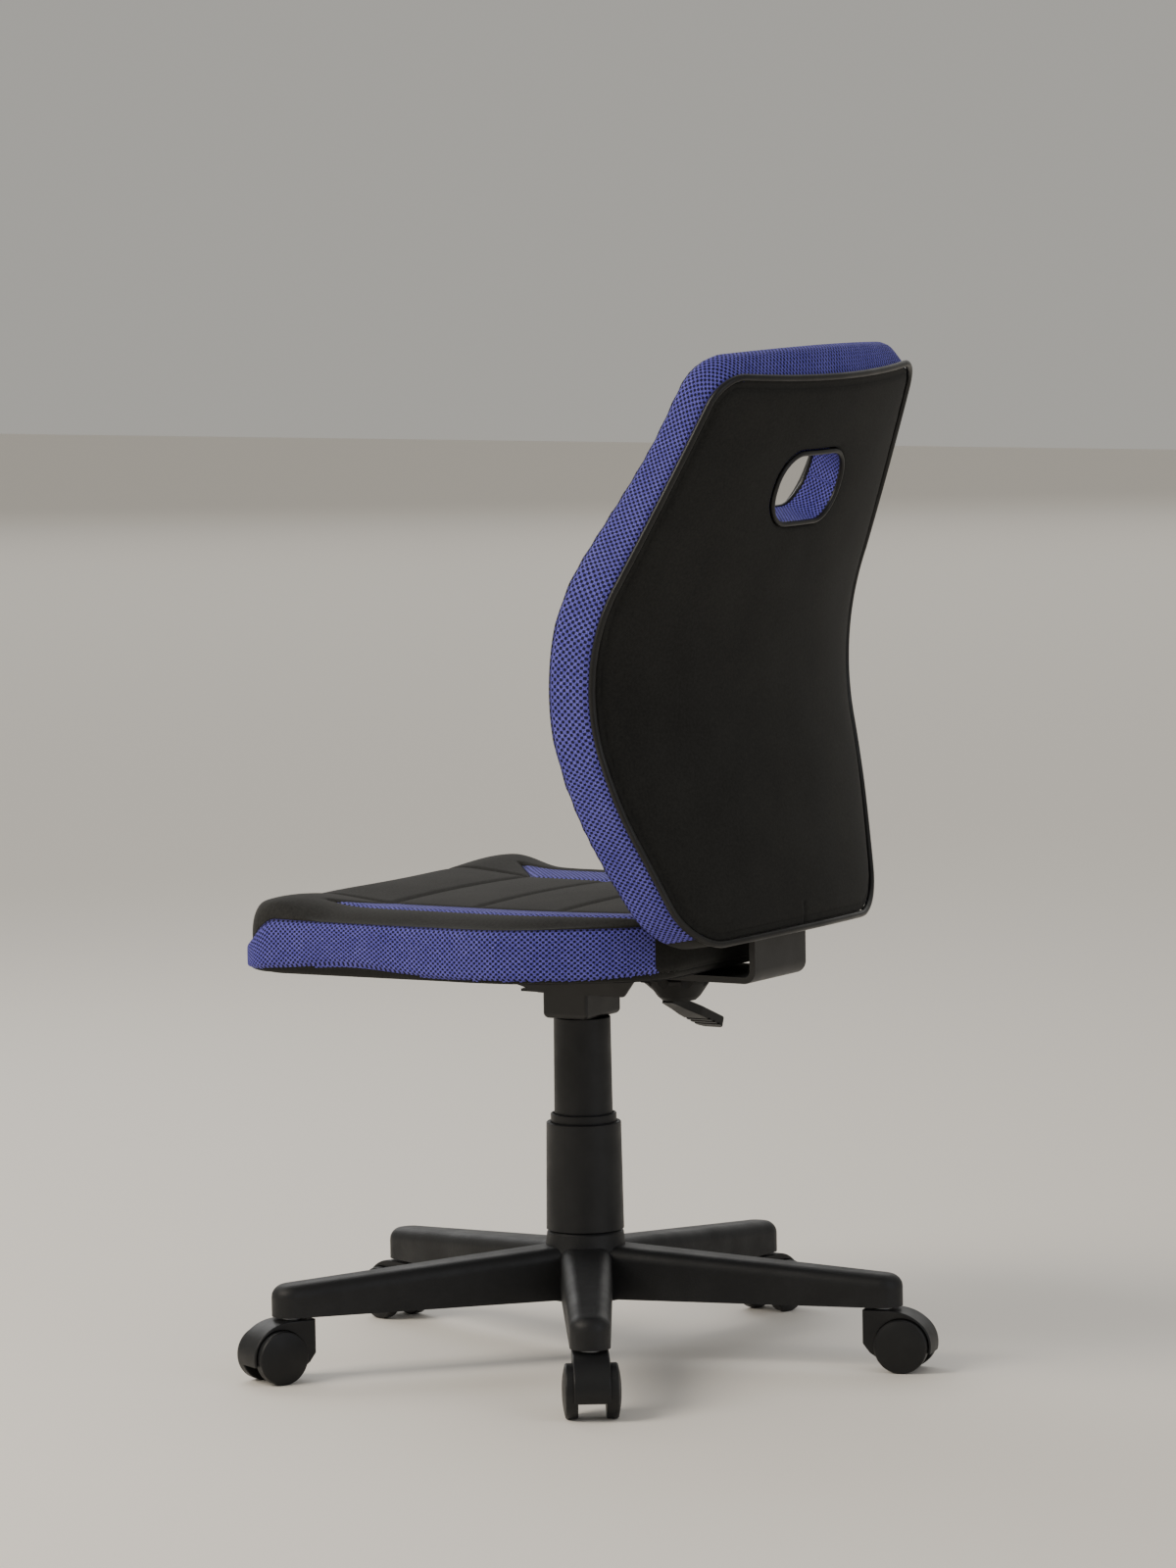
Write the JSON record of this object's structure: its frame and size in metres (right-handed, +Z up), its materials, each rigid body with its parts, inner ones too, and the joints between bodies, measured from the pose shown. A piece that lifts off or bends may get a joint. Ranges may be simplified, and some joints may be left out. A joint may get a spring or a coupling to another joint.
{
  "type": "swivel office chair",
  "caption": "Armless swivel desk chair: a five-leg castor base and a gas lift carry a padded seat and a curved backrest with a hand hole.",
  "frame": {"origin": "on the floor under the axis of the gas lift", "axes": "+Z up, the sitter looks along -Y, +X is the sitter's left"},
  "size_m": [0.6325, 0.6471, 0.9465],
  "materials": {
    "nylon": "satin, fine moulded grain",
    "cover_plastic": "smooth matte",
    "castor_plastic": "satin",
    "grip_plastic": "matte",
    "black_steel": "black powder coat",
    "steel": "zinc plated",
    "plywood": "raw",
    "lining": "non-woven",
    "black_fabric": "plain weave",
    "blue_mesh": "spacer mesh",
    "piping": "welt cord"
  },
  "bodies": {
    "base": {"star_base": "nylon", "castor_grip_rings": "steel", "lift_tube": "black_steel", "guide_bush": "cover_plastic", "bearing_lower_race": "steel", "bearing_balls": "steel", "lower_cover": "cover_plastic", "middle_cover": "cover_plastic"},
    "spindle": {"piston_rod": "steel", "bearing_upper_race": "steel", "rod_clip": "steel"},
    "seat_unit": {"gas_cylinder": "black_steel", "rod_guide": "cover_plastic", "upper_cover": "cover_plastic", "lift_socket": "black_steel", "seat_plate": "black_steel", "seat_bolts": "steel", "seat_tee_nuts": "steel", "seat_board": "plywood", "seat_under_cover": "lining", "seat_cushion": "black_fabric", "seat_side_band": "blue_mesh"},
    "knob": {"depth_knob": "grip_plastic"},
    "back_unit": {"back_bracket": "black_steel", "back_bolts": "steel", "back_tee_nuts": "steel", "back_board": "plywood", "back_cushion": "black_fabric", "back_side_band": "blue_mesh", "back_rear_cover": "black_fabric", "back_piping": "piping", "handle_sleeve": "blue_mesh"},
    "lever": {"lever_rod": "black_steel", "lever_paddle": "grip_plastic"},
    "pin": {"release_pin": "steel"},
    "castor_1": {"castor_stem_1": "steel", "castor_hood_1": "castor_plastic", "castor_axle_1": "steel"},
    "wheel_left_1": {"castor_wheel_left_1": "castor_plastic"},
    "wheel_right_1": {"castor_wheel_right_1": "castor_plastic"},
    "castor_2": {"castor_stem_2": "steel", "castor_hood_2": "castor_plastic", "castor_axle_2": "steel"},
    "wheel_left_2": {"castor_wheel_left_2": "castor_plastic"},
    "wheel_right_2": {"castor_wheel_right_2": "castor_plastic"},
    "castor_3": {"castor_stem_3": "steel", "castor_hood_3": "castor_plastic", "castor_axle_3": "steel"},
    "wheel_left_3": {"castor_wheel_left_3": "castor_plastic"},
    "wheel_right_3": {"castor_wheel_right_3": "castor_plastic"},
    "castor_4": {"castor_stem_4": "steel", "castor_hood_4": "castor_plastic", "castor_axle_4": "steel"},
    "wheel_left_4": {"castor_wheel_left_4": "castor_plastic"},
    "wheel_right_4": {"castor_wheel_right_4": "castor_plastic"},
    "castor_5": {"castor_stem_5": "steel", "castor_hood_5": "castor_plastic", "castor_axle_5": "steel"},
    "wheel_left_5": {"castor_wheel_left_5": "castor_plastic"},
    "wheel_right_5": {"castor_wheel_right_5": "castor_plastic"}
  },
  "joints": [
    {"name": "seat_swivel", "type": "hinge", "parent": "base", "child": "spindle", "pos_m": [0, 0, 0.07], "axis": [0, 0, 1], "continuous": true},
    {"name": "seat_height", "type": "slide", "parent": "spindle", "child": "seat_unit", "axis": [0, 0, 1], "range_m": [-0.04, 0.05]},
    {"name": "lever_lift", "type": "hinge", "parent": "seat_unit", "child": "lever", "pos_m": [-0.05075, 0.03, 0.357], "axis": [0, 1, 0], "range_deg": [0, 4], "stiffness_Nm_per_rad": 3, "springref_deg": -2.86},
    {"name": "pin_press", "type": "slide", "parent": "seat_unit", "child": "pin", "axis": [0, 0, -1], "range_m": [0, 0.0036]},
    {"name": "knob_turn", "type": "hinge", "parent": "seat_unit", "child": "knob", "pos_m": [0, 0.105, 0.355], "axis": [0, 0, 1], "continuous": true},
    {"name": "back_depth", "type": "slide", "parent": "seat_unit", "child": "back_unit", "axis": [0, 1, 0], "range_m": [0, 0.03]},
    {"name": "castor_swivel_1", "type": "hinge", "parent": "base", "child": "castor_1", "pos_m": [0.24496, 0.15011, 0.06], "axis": [0, 0, 1], "continuous": true},
    {"name": "wheel_left_1_spin", "type": "hinge", "parent": "castor_1", "child": "wheel_left_1", "pos_m": [0.26258, 0.16155, 0.025], "axis": [-0.5446, 0.8387, 0], "continuous": true},
    {"name": "wheel_right_1_spin", "type": "hinge", "parent": "castor_1", "child": "wheel_right_1", "pos_m": [0.26258, 0.16155, 0.025], "axis": [-0.5446, 0.8387, 0], "continuous": true},
    {"name": "castor_swivel_2", "type": "hinge", "parent": "base", "child": "castor_2", "pos_m": [-0.06707, 0.27936, 0.06], "axis": [0, 0, 1], "continuous": true},
    {"name": "wheel_left_2_spin", "type": "hinge", "parent": "castor_2", "child": "wheel_left_2", "pos_m": [-0.0725, 0.29965, 0.025], "axis": [-0.9659, -0.2588, 0], "continuous": true},
    {"name": "wheel_right_2_spin", "type": "hinge", "parent": "castor_2", "child": "wheel_right_2", "pos_m": [-0.0725, 0.29965, 0.025], "axis": [-0.9659, -0.2588, 0], "continuous": true},
    {"name": "castor_swivel_3", "type": "hinge", "parent": "base", "child": "castor_3", "pos_m": [-0.28641, 0.02254, 0.06], "axis": [0, 0, 1], "continuous": true},
    {"name": "wheel_left_3_spin", "type": "hinge", "parent": "castor_3", "child": "wheel_left_3", "pos_m": [-0.30726, 0.0251, 0.025], "axis": [-0.1219, -0.9925, 0], "continuous": true},
    {"name": "wheel_right_3_spin", "type": "hinge", "parent": "castor_3", "child": "wheel_right_3", "pos_m": [-0.30726, 0.0251, 0.025], "axis": [-0.1219, -0.9925, 0], "continuous": true},
    {"name": "castor_swivel_4", "type": "hinge", "parent": "base", "child": "castor_4", "pos_m": [-0.10995, -0.26543, 0.06], "axis": [0, 0, 1], "continuous": true},
    {"name": "wheel_left_4_spin", "type": "hinge", "parent": "castor_4", "child": "wheel_left_4", "pos_m": [-0.11713, -0.28516, 0.025], "axis": [0.9397, -0.342, 0], "continuous": true},
    {"name": "wheel_right_4_spin", "type": "hinge", "parent": "castor_4", "child": "wheel_right_4", "pos_m": [-0.11713, -0.28516, 0.025], "axis": [0.9397, -0.342, 0], "continuous": true},
    {"name": "castor_swivel_5", "type": "hinge", "parent": "base", "child": "castor_5", "pos_m": [0.21846, -0.18659, 0.06], "axis": [0, 0, 1], "continuous": true},
    {"name": "wheel_left_5_spin", "type": "hinge", "parent": "castor_5", "child": "wheel_left_5", "pos_m": [0.23701, -0.19645, 0.025], "axis": [0.4695, 0.8829, 0], "continuous": true},
    {"name": "wheel_right_5_spin", "type": "hinge", "parent": "castor_5", "child": "wheel_right_5", "pos_m": [0.23701, -0.19645, 0.025], "axis": [0.4695, 0.8829, 0], "continuous": true}
  ],
  "couplings": [
    {"joint": "pin_press", "follows": "lever_lift", "m_per_rad": 0.05075}
  ]
}
